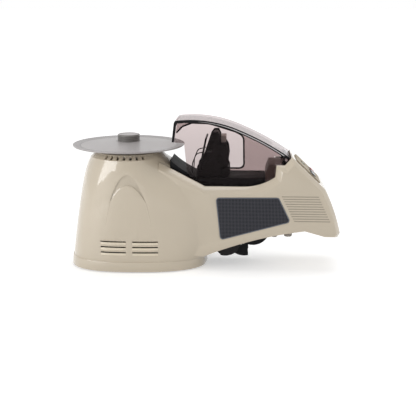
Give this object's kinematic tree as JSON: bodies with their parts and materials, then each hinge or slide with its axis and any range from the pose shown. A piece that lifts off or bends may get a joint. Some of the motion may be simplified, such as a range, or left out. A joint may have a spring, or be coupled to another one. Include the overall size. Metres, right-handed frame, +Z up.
{
  "type": "electric tape dispenser",
  "caption": "Electric tape dispenser: roll turntable on a round turret, feed tower under a hinged smoked cover, toothed carousel under a sloping nose with push buttons.",
  "frame": {"origin": "on the table under the middle of the object's bounding box", "axes": "+X towards the nose with the buttons, +Y towards the operator's side with the open carousel window, +Z up"},
  "size_m": [0.3678, 0.152, 0.2032],
  "materials": {
    "shell": "semi-gloss beige moulded shell",
    "disc": "satin warm grey turntable",
    "hub": "dark grey turned hub",
    "smoke": "smoked clear sheet",
    "dark": "black moulding",
    "label": "bare navy label sheet",
    "panel": "brown-grey key panel",
    "key": "moulded key caps",
    "red_key": "red key cap",
    "lens": "green light lens",
    "steel": "plain steel",
    "zinc": "blackened steel plate",
    "brass": "brass pinion",
    "acetal": "white gear plastic",
    "rubber": "soft roller rubber",
    "grey_rubber": "silicone roller",
    "motor": "plated motor can",
    "board": "green circuit board",
    "aluminium": "extruded heat sink",
    "cast": "cast ballast"
  },
  "bodies": {
    "root": {"base_pan": "shell", "rubber_feet": "rubber", "ballast_plate": "cast", "main_board": "board", "heat_sink": "aluminium", "main_housing": "shell", "side_cover": "shell", "turret_deck": "shell", "spindle_post": "steel", "bearing_ring": "acetal", "deck_liner": "dark", "hinge_block": "shell", "hinge_pin": "steel", "hinge_brackets": "dark", "tower_plate_near": "zinc", "tower_plate_far": "zinc", "tower_tie_rods": "steel", "guide_shaft": "steel", "feed_motor": "motor", "pivot_knob": "dark", "tape_sensor": "panel", "guide_wires": "steel", "fixed_blade": "steel", "cutter_solenoid": "motor", "carousel_frame": "zinc", "frame_standoffs": "brass", "carousel_motor": "motor", "label_plate": "label", "control_panel": "panel", "indicator_lens": "lens", "control_board": "board", "power_plate": "dark", "inlet_socket": "dark", "switch_body": "dark"},
    "turntable": {"disc_plate": "disc", "roll_hub": "hub"},
    "cover": {"smoke_cover": "smoke", "cover_trim": "dark"},
    "carousel": {"carousel_shaft": "steel", "carousel_gear": "acetal", "carousel_hub": "dark", "carousel_plate_near": "dark", "carousel_plate_far": "dark", "tip_pads": "rubber", "wheel_nut": "dark"},
    "carousel_drive": {"carousel_pinion": "brass"},
    "feed": {"feed_shaft": "steel", "feed_roller": "rubber", "feed_gear": "acetal"},
    "feed_drive": {"feed_pinion": "brass"},
    "guide": {"guide_roller": "grey_rubber"},
    "press": {"pressure_arm": "zinc"},
    "press_roll": {"pressure_roller": "grey_rubber"},
    "tension": {"tension_lever": "steel"},
    "blade": {"blade_slide": "zinc", "moving_blade": "steel"},
    "button_1": {"push_button_1": "key"},
    "button_2": {"push_button_2": "key"},
    "button_3": {"push_button_3": "red_key"},
    "rocker": {"power_rocker": "red_key"}
  },
  "joints": [
    {"name": "turntable_spin", "type": "hinge", "parent": "root", "child": "turntable", "pos_m": [-0.103, 0, 0.165], "axis": [0, 0, 1], "continuous": true},
    {"name": "cover_hinge", "type": "hinge", "parent": "root", "child": "cover", "pos_m": [0.111, 0, 0.1505], "axis": [0, 1, 0], "range_deg": [0, 70]},
    {"name": "carousel_spin", "type": "hinge", "parent": "root", "child": "carousel", "pos_m": [0.043, 0, 0.058], "axis": [0, 1, 0], "continuous": true},
    {"name": "carousel_pinion_spin", "type": "hinge", "parent": "root", "child": "carousel_drive", "pos_m": [0.0778, 0, 0.07423], "axis": [0, 1, 0], "continuous": true},
    {"name": "feed_spin", "type": "hinge", "parent": "root", "child": "feed", "pos_m": [0.0085, 0, 0.149], "axis": [0, 1, 0], "continuous": true},
    {"name": "feed_pinion_spin", "type": "hinge", "parent": "root", "child": "feed_drive", "pos_m": [0.00174, 0, 0.13629], "axis": [0, 1, 0], "continuous": true},
    {"name": "guide_spin", "type": "hinge", "parent": "root", "child": "guide", "pos_m": [0.0161, 0, 0.1786], "axis": [0, 1, 0], "continuous": true},
    {"name": "press_swing", "type": "hinge", "parent": "root", "child": "press", "pos_m": [0.0306, 0, 0.1332], "axis": [0, 1, 0], "range_deg": [0, 8], "stiffness_Nm_per_rad": 0.4, "springref_deg": -8.59},
    {"name": "press_roller_spin", "type": "hinge", "parent": "press", "child": "press_roll", "pos_m": [0.0221, 0, 0.149], "axis": [0, 1, 0], "continuous": true},
    {"name": "tension_swing", "type": "hinge", "parent": "root", "child": "tension", "pos_m": [-0.0048, 0, 0.135], "axis": [0, 1, 0], "range_deg": [-15, 2], "stiffness_Nm_per_rad": 0.05},
    {"name": "blade_stroke", "type": "slide", "parent": "root", "child": "blade", "axis": [-1, 0, 0], "range_m": [0, 0.004], "stiffness_N_per_m": 200},
    {"name": "button_1_press", "type": "slide", "parent": "root", "child": "button_1", "axis": [-0.6948, 0, -0.7192], "range_m": [0, 0.0012], "stiffness_N_per_m": 400},
    {"name": "button_2_press", "type": "slide", "parent": "root", "child": "button_2", "axis": [-0.6948, 0, -0.7192], "range_m": [0, 0.0012], "stiffness_N_per_m": 400},
    {"name": "button_3_press", "type": "slide", "parent": "root", "child": "button_3", "axis": [-0.6948, 0, -0.7192], "range_m": [0, 0.0012], "stiffness_N_per_m": 400},
    {"name": "power_rocker_tilt", "type": "hinge", "parent": "root", "child": "rocker", "pos_m": [-0.086, 0.0545, 0.04], "axis": [1, 0, 0], "range_deg": [-14, 0]}
  ],
  "couplings": [
    {"joint": "carousel_pinion_spin", "follows": "carousel_spin", "ratio": -3},
    {"joint": "feed_pinion_spin", "follows": "feed_spin", "ratio": -1.25}
  ]
}
